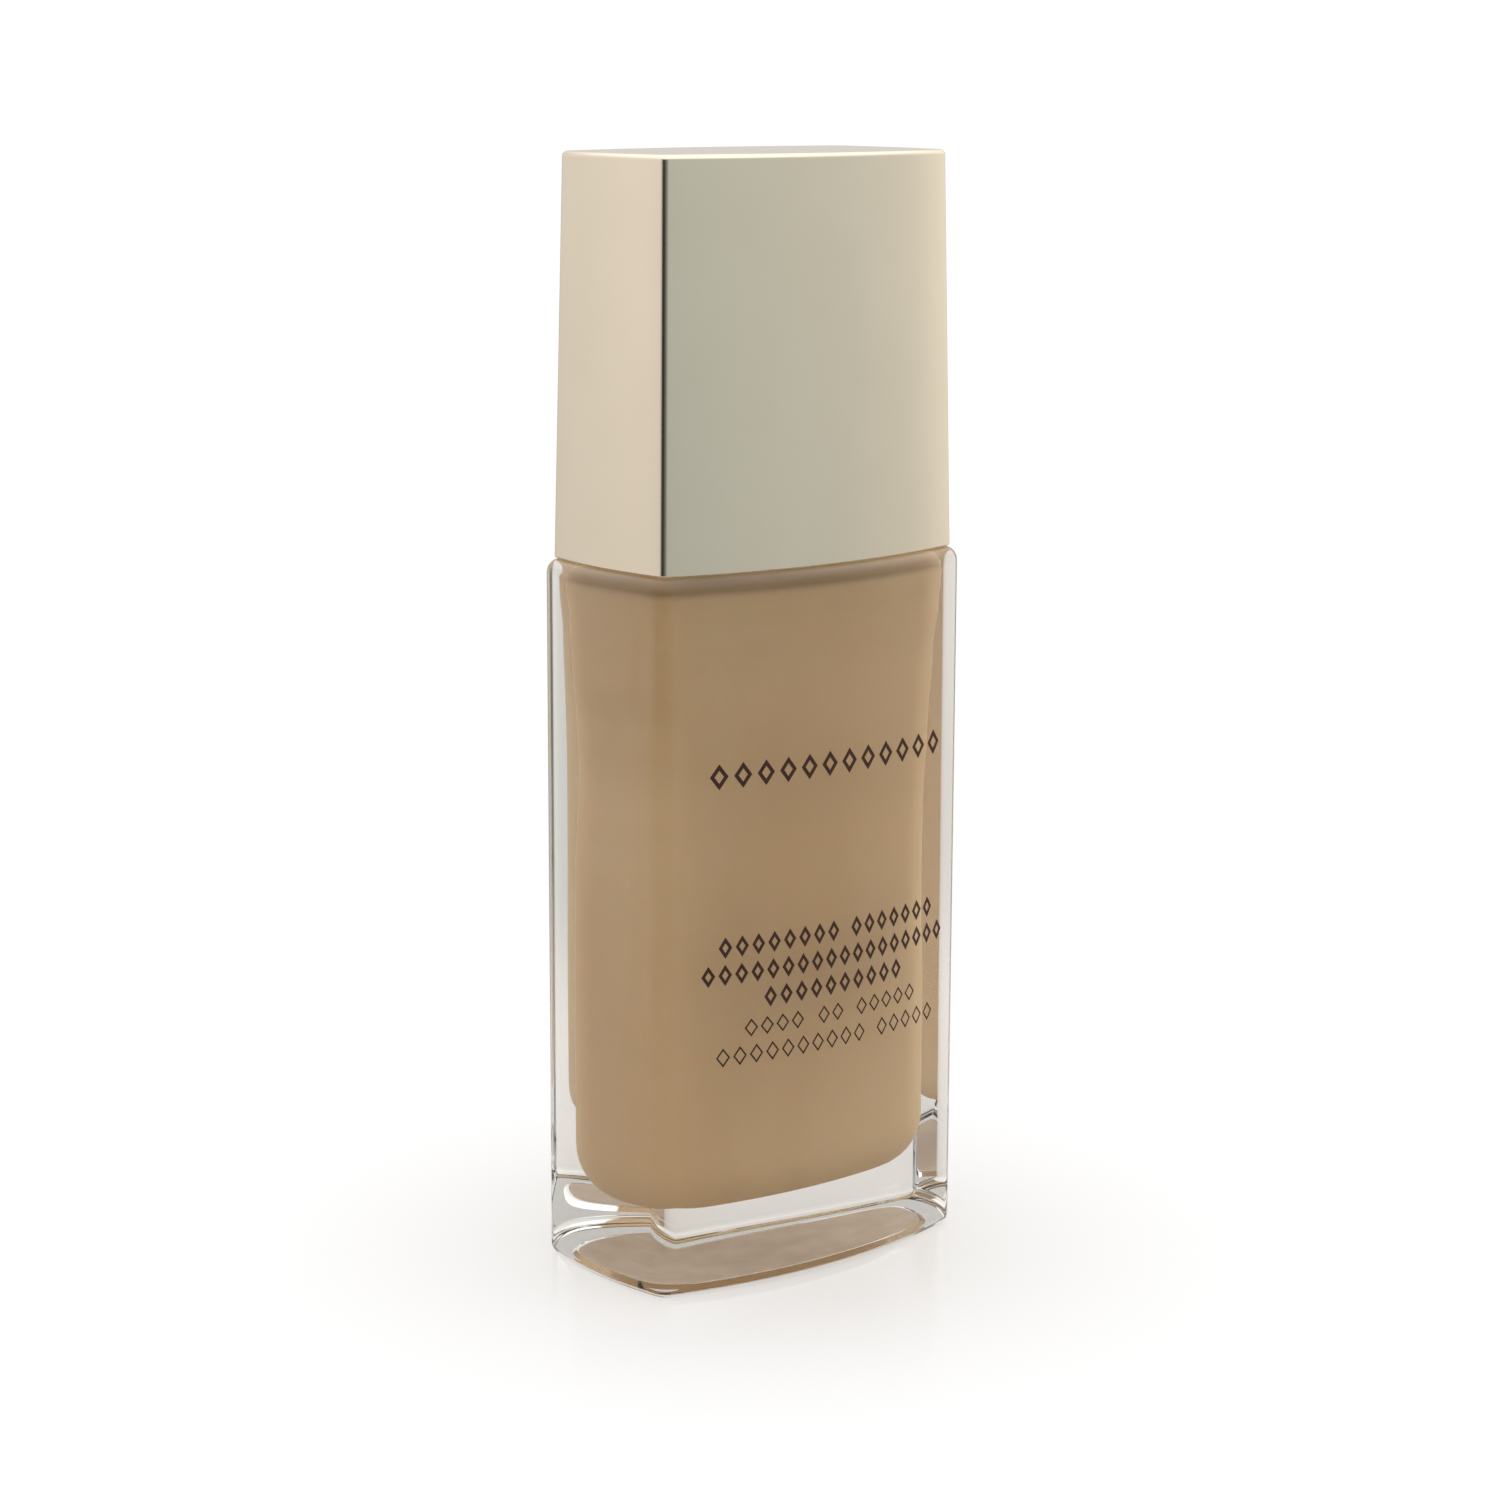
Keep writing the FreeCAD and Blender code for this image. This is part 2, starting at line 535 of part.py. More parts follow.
def actuator_shell():
    shell = cylinder(BUTTON_RADIUS, BUTTON_BOTTOM, BUTTON_TOP)
    shell = shell.makeFillet(BUTTON_ROUNDING, edges_at(shell, BUTTON_TOP))
    hollow = cylinder(BUTTON_RADIUS - BUTTON_WALL, BUTTON_BOTTOM - 1, BUTTON_TOP - BUTTON_TOP_THICKNESS)
    ball_radius = (DISH_RADIUS ** 2 + DISH_DEPTH ** 2) / (2 * DISH_DEPTH)
    dish = Part.makeSphere(ball_radius, Vector(0, 0, BUTTON_TOP + ball_radius - DISH_DEPTH))
    outlet = front_cylinder(NOZZLE_RADIUS + ASSEMBLY_GAP, 1, BUTTON_RADIUS + 1)
    return shell.cut(hollow).cut(dish).cut(outlet)


def nozzle_insert():
    """Outlet tube with a small flange against the button's side."""
    flange_start = BUTTON_RADIUS + ASSEMBLY_GAP
    body = front_cylinder(NOZZLE_RADIUS, NOZZLE_ROOT, NOZZLE_REACH)
    flange = front_cylinder(NOZZLE_FLANGE_RADIUS, flange_start, flange_start + NOZZLE_FLANGE_THICKNESS)
    bore = front_cylinder(NOZZLE_BORE_RADIUS, 0, NOZZLE_REACH + 1)
    return body.fuse(flange).cut(bore)


# ---- Overcap ----

def cap_shell():
    block = cap_block(0, CAP_CORNER_RADIUS, CAP_BOTTOM, CAP_TOP)
    block = block.makeFillet(CAP_TOP_ROUNDING, edges_at(block, CAP_TOP))
    return block.cut(cap_block(CAP_WALL, CAP_INNER_CORNER_RADIUS, CAP_BOTTOM, CAP_CEILING))


def cap_liner():
    """Frame glued into the cap's mouth: a rim that follows the metal, and a plate with a round hole."""
    outer_inset = CAP_WALL + ASSEMBLY_GAP
    top = LINER_BOTTOM + LINER_HEIGHT
    block = cap_block(outer_inset, CAP_INNER_CORNER_RADIUS, LINER_BOTTOM, top)
    room_bottom = LINER_BOTTOM + LINER_PLATE_THICKNESS
    room = cap_block(outer_inset + LINER_WALL, CAP_INNER_CORNER_RADIUS, room_bottom, top)
    hole = cylinder(GRIP_BORE_RADIUS + GRIP_WALL + ASSEMBLY_GAP, LINER_BOTTOM - 1, top + 1)
    return block.cut(room).cut(hole)


def cap_grip_sleeve():
    """Stepped cup: wide where it slides over the collar, narrower around the button."""
    lower_radius = GRIP_BORE_RADIUS + GRIP_WALL
    upper_radius = GRIP_UPPER_RADIUS + GRIP_WALL
    glue_bore = GLUE_RING_RADIUS - GLUE_RING_WIDTH
    return turned([
        (GRIP_BORE_RADIUS, GRIP_BOTTOM),
        (lower_radius, GRIP_BOTTOM),
        (lower_radius, GRIP_STEP),
        (upper_radius, GRIP_STEP + GRIP_WALL),
        (upper_radius, GRIP_TOP),
        (GLUE_RING_RADIUS, GRIP_TOP),
        (GLUE_RING_RADIUS, GLUE_RING_TOP),
        (glue_bore, GLUE_RING_TOP),
        (glue_bore, GRIP_TOP),
        (0, GRIP_TOP),
        (0, GRIP_CEILING),
        (GRIP_UPPER_RADIUS, GRIP_CEILING),
        (GRIP_UPPER_RADIUS, GRIP_STEP),
        (GRIP_BORE_RADIUS, GRIP_STEP),
    ])


# ---- Write every piece ----

PIECES = [
    glass_bottle, foundation_fill, base_label,
    neck_gasket, pump_collar, collar_sleeve,
    pump_housing, housing_turret, dip_tube, inlet_ball, return_spring,
    piston, piston_rod, pump_stem,
    actuator_core, actuator_shell, nozzle_insert,
    cap_shell, cap_liner, cap_grip_sleeve,
]

os.makedirs("parts", exist_ok=True)
for make_piece in PIECES:
    shape = make_piece()
    name = make_piece.__name__
    shape.exportStep("parts/" + name + ".step")
    print(name, "solids", len(shape.Solids), "valid", shape.isValid(), "mm3", round(shape.Volume, 1))
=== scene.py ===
import json
import math

import bpy
from mathutils import Matrix, Vector


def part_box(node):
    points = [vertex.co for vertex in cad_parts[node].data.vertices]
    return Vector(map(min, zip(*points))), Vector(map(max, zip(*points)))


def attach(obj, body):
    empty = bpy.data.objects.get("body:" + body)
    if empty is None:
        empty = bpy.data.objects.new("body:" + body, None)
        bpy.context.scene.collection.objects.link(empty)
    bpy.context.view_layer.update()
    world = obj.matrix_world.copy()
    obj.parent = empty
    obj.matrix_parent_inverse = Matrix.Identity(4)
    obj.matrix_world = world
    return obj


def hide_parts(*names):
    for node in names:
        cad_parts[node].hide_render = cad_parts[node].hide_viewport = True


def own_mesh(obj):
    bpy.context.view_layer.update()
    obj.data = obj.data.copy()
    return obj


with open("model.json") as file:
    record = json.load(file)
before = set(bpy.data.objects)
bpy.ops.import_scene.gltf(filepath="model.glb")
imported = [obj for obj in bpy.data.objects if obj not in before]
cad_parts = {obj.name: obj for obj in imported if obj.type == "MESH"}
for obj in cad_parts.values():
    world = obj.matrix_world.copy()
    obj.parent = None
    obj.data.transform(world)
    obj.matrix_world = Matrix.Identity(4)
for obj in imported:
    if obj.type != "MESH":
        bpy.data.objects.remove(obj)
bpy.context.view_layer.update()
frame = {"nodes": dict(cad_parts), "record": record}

# Looks of the foundation bottle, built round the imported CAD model. Metres, Z up, front towards -Y.

MM = 0.001

# ---- The object's driving sizes ----

# Plan: a rectangle whose sides bow outwards as arcs, shared by the glass and the cap
BODY_WIDTH = 40.0 * MM
FRONT_CORNER_Y = 9.39 * MM
FRONT_BOW = 3.20 * MM
SIDE_BOW = 1.06 * MM

# Glass
SHOULDER_LEVEL = 70.7 * MM
GLASS_CORNER = 2.4 * MM
SHOULDER_ROUNDING = 1.4 * MM
FOOT_ROUNDING = 1.0 * MM
FOOT_RIM = 3.5 * MM
PUNT_DEPTH = 0.35 * MM
LABEL_INSET = 4.35 * MM
LABEL_THICKNESS = 0.1 * MM
LABEL_CORNER = 3.5 * MM
NECK_RADIUS = 7.5 * MM
NECK_FILLET = 1.2 * MM
NECK_BORE = 4.9 * MM
NECK_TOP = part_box("glass_bottle")[1].z
RIM_ROUNDING = 0.4 * MM
THREAD_PITCH = 3.175 * MM
THREAD_DEPTH = 0.8 * MM
THREAD_TURNS = 1.6
THREAD_START = SHOULDER_LEVEL + 4.5 * MM
THREAD_BASE = 1.5 * MM
THREAD_CREST = 0.8 * MM

# Cavity: the glass is thinner under the shoulder and uneven on its two sides, as moulded glass is
BASE_THICKNESS = 7.1 * MM
CEILING_LEVEL = SHOULDER_LEVEL - 1.5 * MM
CAVITY_CORNER = 4.5 * MM
CAVITY_FLOOR_ROUNDING = 4.8 * MM
CAVITY_CEILING_ROUNDING = 1.2 * MM
MEAN_SIDE_WALL = 3.8 * MM
# Height and thickness of the front and back walls, then of the left and the right wall
FRONT_WALL_PROFILE = [(0, 4.4), (30, 4.4), (50, 4.5), (60, 4.3), (65, 3.8), (68, 3.3)]
LEFT_WALL_PROFILE = [(0, 3.2), (30, 3.0), (40, 3.2), (45, 3.9), (50, 4.5), (55, 3.9), (60, 2.9), (68, 3.0)]
RIGHT_WALL_PROFILE = [(0, 4.2), (25, 4.2), (35, 4.5), (45, 4.4), (52, 3.9), (60, 3.3), (65, 2.6), (68, 2.4)]

# Liquid: it wets the glass, so its skin sits a hair inside the glass
WETTING = 0.06 * MM
LIQUID_LEVEL = SHOULDER_LEVEL - 0.6 * MM
CHAMBER_CLEARANCE = 0.25 * MM
TUBE_CLEARANCE = 0.3 * MM
SOCKET_ROOM = 2.9 * MM
SOCKET_HEIGHT = 6.3 * MM

# Cap
CAP_INSET_AT_MOUTH = 0.9 * MM
CAP_INSET_AT_TOP = 1.75 * MM
CAP_CORNER = 0.75 * MM
CAP_INNER_CORNER = 0.3 * MM
CAP_TOP_ROUNDING = 0.5 * MM
CAP_LIP_ROUNDING = 0.2 * MM
CAP_WALL = 0.7 * MM
CAP_TOP_THICKNESS = 0.9 * MM
CAP_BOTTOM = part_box("cap_shell")[0].z
CAP_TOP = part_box("cap_shell")[1].z

# Print on the front glass
PRINT_CENTRE = 0.5 * MM
INK_LIFT = 0.03 * MM
INK_SINK = 0.01 * MM

# Return spring
SPRING_WIRE_RADIUS = 0.275 * MM
SPRING_TURNS = 7.5
SPRING_CLOSED_TURNS = 1.0    # at each end
SPRING_CLOSED_PITCH = 2.1 * SPRING_WIRE_RADIUS
SPRING_STEPS = 400
SPRING_SIDES = 10

# Stage
FLOOR_HALF_WIDTH = 3.0
BACKDROP_STRENGTH = 1.02

# Mesh fineness
FRONT_STEPS = 40             # points along half of a front arc
SIDE_STEPS = 16              # points along half of a side arc
CORNER_STEPS = 10
ROUNDING_STEPS = 8
WALL_STEPS = 60              # rings up the cavity's wall
THREAD_STEPS = 64            # rings up the neck's thread

# ---- The bowed plan ----

CORNER_X = BODY_WIDTH / 2 - SIDE_BOW
FRONT_RADIUS = (CORNER_X ** 2 + FRONT_BOW ** 2) / (2 * FRONT_BOW)
SIDE_RADIUS = (FRONT_CORNER_Y ** 2 + SIDE_BOW ** 2) / (2 * SIDE_BOW)
FRONT_CENTRE = Vector((0, FRONT_RADIUS - FRONT_CORNER_Y - FRONT_BOW))
SIDE_CENTRE = Vector((BODY_WIDTH / 2 - SIDE_RADIUS, 0))


def arc(centre, radius, start, end, steps):
    """Points along an arc, both ends included."""
    angles = [start + (end - start) * i / steps for i in range(steps + 1)]
    return [centre + Vector((math.cos(a), math.sin(a))) * radius for a in angles]


def bearing(point, centre):
    return math.atan2(point.y - centre.y, point.x - centre.x)


def bowed_plan(front_inset, side_inset, corner):
    """Closed outline of the plan, each pair of sides moved in by its own inset."""
    front_radius = FRONT_RADIUS - front_inset
    side_radius = SIDE_RADIUS - side_inset
    span = SIDE_CENTRE - FRONT_CENTRE
    front_reach = front_radius - corner
    side_reach = side_radius - corner
    along = (front_reach ** 2 - side_reach ** 2 + span.length_squared) / (2 * span.length)
    across = math.sqrt(front_reach ** 2 - along ** 2)
    direction = span.normalized()
    pivot = FRONT_CENTRE + direction * along + Vector((-direction.y, direction.x)) * across
    to_front = bearing(pivot, FRONT_CENTRE)
    to_side = bearing(pivot, SIDE_CENTRE)
    quarter = arc(FRONT_CENTRE, front_radius, -math.pi / 2, to_front, FRONT_STEPS)
    quarter += arc(pivot, corner, to_front, to_side, CORNER_STEPS)[1:]
    quarter += arc(SIDE_CENTRE, side_radius, to_side, 0, SIDE_STEPS)[1:]
    right = quarter + [Vector((p.x, -p.y)) for p in reversed(quarter[:-1])]
    return right + [Vector((-p.x, p.y)) for p in reversed(right[1:-1])]


def bowed_ring(inset, corner, z):
    return [Vector((p.x, p.y, z)) for p in bowed_plan(inset, inset, corner)]


# Every round ring has one point in each of these directions, so that it joins a bowed ring one to one.
DIRECTIONS = [p.normalized() for p in bowed_plan(0, 0, GLASS_CORNER)]


def round_ring(radius, z):
    return [Vector((d.x * radius, d.y * radius, z)) for d in DIRECTIONS]


def quarter_turns(steps=ROUNDING_STEPS):
    """(sine, 1 - cosine) pairs from 0 to 90 degrees, for a rounding's rings."""
    angles = [math.pi / 2 * i / steps for i in range(steps + 1)]
    return [(math.sin(a), 1 - math.cos(a)) for a in angles]


# ---- Meshes ----

def add_piece(name, vertices, faces, material, body):
    """Links a smooth-shaded mesh piece and ties it to its CAD body and material slot."""
    mesh = bpy.data.meshes.new(name)
    mesh.from_pydata([tuple(v) for v in vertices], [], faces)
    mesh.update()
    mesh.shade_smooth()
    piece = bpy.data.objects.new(name, mesh)
    bpy.context.scene.collection.objects.link(piece)
    mesh.materials.append(material)
    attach(piece, body)
    return piece


def weigh_normals(piece):
    """Shades each vertex by its largest faces, so that flats stay flat beside small roundings."""
    modifier = piece.modifiers.new("face_weighted_normals", "WEIGHTED_NORMAL")
    modifier.keep_sharp = True


def skin(rings, start_level, end_level):
    """Vertices and faces of a closed surface through the rings, which ends in a point at both levels."""
    count = len(rings[0])
    vertices = [point for ring in rings for point in ring]
    start = len(vertices)
    vertices.append(Vector((0, 0, start_level)))
    vertices.append(Vector((0, 0, end_level)))
    faces = []
    for row in range(len(rings) - 1):
        for i in range(count):
            j = (i + 1) % count
            low, high = row * count, (row + 1) * count
            faces.append((low + i, low + j, high + j, high + i))
    last = (len(rings) - 1) * count
    for i in range(count):
        j = (i + 1) % count
        faces.append((start, j, i))
        faces.append((start + 1, last + i, last + j))
    return vertices, faces


# ---- Glass bottle ----

def thread_lift(angle, z):
    """How far the neck's thread stands out at this angle and height."""
    turns = (z - THREAD_START) / THREAD_PITCH
    nearest = round(turns - angle / math.tau) + angle / math.tau
    nearest = min(max(nearest, angle / math.tau), angle / math.tau + math.floor(THREAD_TURNS))
    if nearest > THREAD_TURNS:
        nearest -= 1
    distance = abs(turns - nearest) * THREAD_PITCH
    slope = (THREAD_BASE - THREAD_CREST) / 2
    share = min(max((THREAD_BASE / 2 - distance) / slope, 0), 1)
    fade_turns = 0.12
    ends = min(nearest, THREAD_TURNS - nearest) / fade_turns
    return THREAD_DEPTH * share * min(max(ends, 0), 1)


def neck_ring(z):
    ring = []
    for direction in DIRECTIONS:
        angle = math.atan2(direction.y, direction.x) % math.tau
        radius = NECK_RADIUS + thread_lift(angle, z)
        ring.append(Vector((direction.x * radius, direction.y * radius, z)))
    return ring


def glass_outside():
    """Rings from the recess under the base, up the body and the neck, to the rim."""
    rings = [
        bowed_ring(FOOT_RIM + 2 * PUNT_DEPTH, CAVITY_CORNER, PUNT_DEPTH),
        bowed_ring(FOOT_RIM + PUNT_DEPTH, CAVITY_CORNER, PUNT_DEPTH),
        bowed_ring(FOOT_RIM, CAVITY_CORNER, 0),
        bowed_ring(FOOT_RIM - PUNT_DEPTH, CAVITY_CORNER, 0),
    ]
    for rise, run in quarter_turns():
        inset = FOOT_ROUNDING * (1 - rise)
        rings.append(bowed_ring(inset, GLASS_CORNER - inset, FOOT_ROUNDING * run))
    for rise, run in quarter_turns():
        inset = SHOULDER_ROUNDING * run
        level = SHOULDER_LEVEL - SHOULDER_ROUNDING * (1 - rise)
        rings.append(bowed_ring(inset, GLASS_CORNER - inset, level))
    rings.append(bowed_ring(SHOULDER_ROUNDING * 1.2, GLASS_CORNER - SHOULDER_ROUNDING, SHOULDER_LEVEL))
    for rise, run in quarter_turns():
        rings.append(round_ring(NECK_RADIUS + NECK_FILLET * (1 - rise), SHOULDER_LEVEL + NECK_FILLET * run))
    low = THREAD_START - THREAD_BASE
    high = THREAD_START + THREAD_PITCH * THREAD_TURNS + THREAD_BASE
    rings += [neck_ring(low + (high - low) * i / THREAD_STEPS) for i in range(THREAD_STEPS + 1)]
    for rise, run in quarter_turns():
        level = NECK_TOP - RIM_ROUNDING * (1 - rise)
        rings.append(round_ring(NECK_RADIUS - RIM_ROUNDING * run, level))
    return rings


def thickness(profile, z):
    """Wall thickness at this height, eased from one stated height to the next."""
    level = z / MM
    for (low, first), (high, second) in zip(profile, profile[1:]):
        if level <= high:
            share = min(max((level - low) / (high - low), 0), 1)
            eased = share * share * (3 - 2 * share)
            return (first + (second - first) * eased) * MM
    return profile[-1][1] * MM


def cavity_ring(z, extra, grow):
    """Outline of the cavity, whose left and right halves are stretched to their own walls."""
    inset = thickness(FRONT_WALL_PROFILE, z) + extra - grow
    side_inset = MEAN_SIDE_WALL + extra - grow
    corner = max(CAVITY_CORNER - extra / 4, CAVITY_CORNER / 2)
    half = BODY_WIDTH / 2 - MEAN_SIDE_WALL
    left = (BODY_WIDTH / 2 - thickness(LEFT_WALL_PROFILE, z)) / half
    right = (BODY_WIDTH / 2 - thickness(RIGHT_WALL_PROFILE, z)) / half
    plan = bowed_plan(inset, side_inset, corner)
    return [Vector((p.x * (right if p.x > 0 else left), p.y)) for p in plan]


def cavity_rings(grow):
    """Rings down the cavity, from its ceiling to its floor. The liquid's skin is grown a little."""
    ceiling = CEILING_LEVEL + grow
    floor = BASE_THICKNESS - grow
    rings = []

    def add(z, extra):
        rings.append([Vector((p.x, p.y, z)) for p in cavity_ring(z, extra, grow)])

    for rise, run in quarter_turns():
        add(ceiling - CAVITY_CEILING_ROUNDING * run, CAVITY_CEILING_ROUNDING * (1 - rise))
    top = ceiling - CAVITY_CEILING_ROUNDING
    bottom = floor + CAVITY_FLOOR_ROUNDING
    for i in range(1, WALL_STEPS):
        add(top + (bottom - top) * i / WALL_STEPS, 0)
    for rise, run in quarter_turns():
        add(bottom - CAVITY_FLOOR_ROUNDING * rise, CAVITY_FLOOR_ROUNDING * run)
    return rings


def build_glass(material):
    rings = glass_outside()
    rings.append(round_ring(NECK_BORE, NECK_TOP))
    rings.append(round_ring(NECK_BORE, CEILING_LEVEL))
    rings += cavity_rings(0)
    vertices, faces = skin(rings, PUNT_DEPTH, BASE_THICKNESS)
    piece = add_piece("glass_body", vertices, faces, material, "bottle")
    weigh_normals(piece)
    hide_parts("glass_bottle")
    return piece


# ---- Liquid ----

def build_liquid(material):
    """The fill: its skin wets the glass, and stepped room is left round the pump and its tube."""
    chamber_room = NECK_BORE - CHAMBER_CLEARANCE
    chamber_low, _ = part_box("inlet_ball")
    tube_low, tube_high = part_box("dip_tube")
    socket_low = tube_high.z - SOCKET_HEIGHT
    tube_room = tube_high.x + TUBE_CLEARANCE
    tube_end = tube_low.z - TUBE_CLEARANCE
    rings = [
        round_ring(tube_room, tube_end),
        round_ring(tube_room, socket_low),
        round_ring(SOCKET_ROOM, socket_low),
        round_ring(SOCKET_ROOM, chamber_low.z),
        round_ring(chamber_room, chamber_low.z),
        round_ring(chamber_room, LIQUID_LEVEL),
        round_ring(NECK_BORE + WETTING, LIQUID_LEVEL),
        round_ring(NECK_BORE + WETTING, CEILING_LEVEL + WETTING),
    ]
    rings += cavity_rings(WETTING)
    vertices, faces = skin(rings, tube_end, BASE_THICKNESS - WETTING)
    piece = add_piece("liquid_makeup", vertices, faces, material, "bottle")
    weigh_normals(piece)
    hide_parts("foundation_fill")
    return piece


# ---- Label under the base ----

def build_label(material):
    """Its glue wets the glass, so its upper face sits a hair inside the glass."""
    top = PUNT_DEPTH + WETTING
    bottom = PUNT_DEPTH - LABEL_THICKNESS
    rings = [bowed_ring(LABEL_INSET, LABEL_CORNER, top), bowed_ring(LABEL_INSET, LABEL_CORNER, bottom)]
    vertices, faces = skin(rings, top, bottom)
    faces = [tuple(reversed(face)) for face in faces]
    piece = add_piece("label_sheet", vertices, faces, material, "bottle")
    piece.data.shade_flat()
    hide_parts("base_label")


# ---- Cap shell ----

def cap_inset(z):
    share = (z - CAP_BOTTOM) / (CAP_TOP - CAP_BOTTOM)
    return CAP_INSET_AT_MOUTH + (CAP_INSET_AT_TOP - CAP_INSET_AT_MOUTH) * share


def build_cap(material):
    rings = [bowed_ring(cap_inset(CAP_TOP) + CAP_TOP_ROUNDING * 1.3, CAP_CORNER / 2, CAP_TOP)]
    for rise, run in quarter_turns():
        level = CAP_TOP - CAP_TOP_ROUNDING * run
        inset = CAP_TOP_ROUNDING * (1 - rise)
        rings.append(bowed_ring(cap_inset(level) + inset, CAP_CORNER - inset, level))
    for rise, run in quarter_turns(4):
        level = CAP_BOTTOM + CAP_LIP_ROUNDING * (1 - rise)
        inset = CAP_LIP_ROUNDING * run
        rings.append(bowed_ring(cap_inset(level) + inset, CAP_CORNER - inset, level))
    ceiling = CAP_TOP - CAP_TOP_THICKNESS
    for level in (CAP_BOTTOM, CAP_BOTTOM + CAP_LIP_ROUNDING, ceiling - CAP_LIP_ROUNDING, ceiling):
        rings.append(bowed_ring(cap_inset(level) + CAP_WALL, CAP_INNER_CORNER, level))
    rings.append(bowed_ring(cap_inset(ceiling) + 2 * CAP_WALL, CAP_INNER_CORNER, ceiling))
    vertices, faces = skin(rings, CAP_TOP, ceiling)
    faces = [tuple(reversed(face)) for face in faces]
    piece = add_piece("cap_metal", vertices, faces, material, "cap")
    weigh_normals(piece)
    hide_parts("cap_shell")
    return piece


# ---- Print ----

def on_front(x, z, lift):
    """Point on the front glass, or lifted off it."""
    radius = FRONT_RADIUS + lift
    return Vector((x, FRONT_CENTRE.y - math.sqrt(radius ** 2 - x ** 2), z))


def ink_loop(outer, inner):
    """Thin closed band of ink between two rails of (x, z) points, wrapped onto the front glass."""
    vertices = []
    for (x1, z1), (x2, z2) in zip(outer, inner):
        vertices += [on_front(x1, z1, INK_LIFT), on_front(x2, z2, INK_LIFT),
                     on_front(x2, z2, -INK_SINK), on_front(x1, z1, -INK_SINK)]
    count = len(outer)
    faces = []
    for i in range(count):
        near = i * 4
        far = (i + 1) % count * 4
        for side in range(4):
            turn = (side + 1) % 4
            faces.append((near + side, near + turn, far + turn, far + side))
    return vertices, faces


def open_lozenge(x, level, width, height, line):
    """Upright lozenge drawn with a line of even width."""
    thin_x = line * math.hypot(width, height) / height
    thin_z = line * math.hypot(width, height) / width
    outer, inner = [], []
    corners = [(1, 0), (0, 1), (-1, 0), (0, -1)]
    side_steps = 2
    for (x1, z1), (x2, z2) in zip(corners, corners[1:] + corners[:1]):
        for i in range(side_steps):
            share = i / side_steps
            across = x1 + (x2 - x1) * share
            up = z1 + (z2 - z1) * share
            outer.append((x + across * width / 2, level + up * height / 2))
            inner.append((x + across * (width / 2 - thin_x), level + up * (height / 2 - thin_z)))
    return ink_loop(outer, inner)


def lozenge_row(words, pitch, gap, level, width, height, line):
    """A centred row of open lozenges, in groups like words, with a wider gap between the groups."""
    total = pitch * sum(words) + (gap - pitch) * (len(words) - 1) - (pitch - width)
    left = PRINT_CENTRE - total / 2
    marks = []
    for count in words:
        for i in range(count):
            marks.append(open_lozenge(left + width / 2 + i * pitch, level, width, height, line))
        left += (count - 1) * pitch + gap
    return marks


def build_print(material):
    """Rows of plain lozenges where a label's print would be."""
    bold = 0.30 * MM
    fine = 0.15 * MM
    marks = []
    for words, pitch, gap, level, width, height, line in (
            ([12], 2.50 * MM, 2.50 * MM, 51.5 * MM, 1.9 * MM, 2.5 * MM, 0.36 * MM),
            ([8, 7], 1.78 * MM, 3.0 * MM, 34.7 * MM, 1.40 * MM, 2.1 * MM, bold),
            ([18], 1.745 * MM, 3.0 * MM, 32.0 * MM, 1.40 * MM, 2.1 * MM, bold),
            ([10], 1.81 * MM, 3.0 * MM, 29.3 * MM, 1.42 * MM, 2.1 * MM, bold),
            ([4, 2, 5], 1.77 * MM, 3.2 * MM, 26.45 * MM, 1.45 * MM, 1.8 * MM, fine),
            ([10, 5], 1.80 * MM, 3.2 * MM, 23.8 * MM, 1.45 * MM, 1.9 * MM, fine)):
        marks += lozenge_row(words, pitch, gap, level, width, height, line)
    vertices, faces = [], []
    for mark_vertices, mark_faces in marks:
        base = len(vertices)
        vertices += mark_vertices
        faces += [tuple(base + index for index in face) for face in mark_faces]
    piece = add_piece("front_print", vertices, faces, material, "bottle")
    piece.data.shade_flat()
    return piece


# ---- Return spring ----

def build_spring(material):
    """Coil with closed ends, fitted to the box of the CAD spring."""
    low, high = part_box("return_spring")
    wire = SPRING_WIRE_RADIUS
    coil_radius = high.x - wire
    start, end = low.z + wire, high.z - wire
    turns, dead_turns = SPRING_TURNS, SPRING_CLOSED_TURNS
    steps, sides = SPRING_STEPS, SPRING_SIDES
    closing = SPRING_CLOSED_PITCH
    vertices = []
    for i in range(steps + 1):
        turn = turns * i / steps
        share = min(max((turn - dead_turns) / (turns - 2 * dead_turns), 0), 1)
        edge = closing * (min(turn, dead_turns) + max(0, turn - turns + dead_turns))
        level = start + edge + (end - start - 2 * closing * dead_turns) * share
        outward = Vector((math.cos(math.tau * turn), math.sin(math.tau * turn), 0))
        for side in range(sides):
            angle = math.tau * side / sides
            offset = outward * (coil_radius + wire * math.cos(angle))
            vertices.append(offset + Vector((0, 0, level + wire * math.sin(angle))))
    faces = []
    for i in range(steps):
        for side in range(sides):
            turn = (side + 1) % sides
            near, far = i * sides, (i + 1) * sides
            faces.append((near + side, near + turn, far + turn, far + side))
    faces.append(tuple(range(sides)))
    faces.append(tuple(reversed(range(steps * sides, (steps + 1) * sides))))
    piece = add_piece("coil_spring", vertices, faces, material, "pump")
    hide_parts("return_spring")
    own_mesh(piece)
    return piece


# ---- Materials ----

def new_material(name):
    material = bpy.data.materials.new(name)
    material.use_nodes = True
    nodes = material.node_tree.nodes
    return material, nodes, material.node_tree.links, nodes["Principled BSDF"]


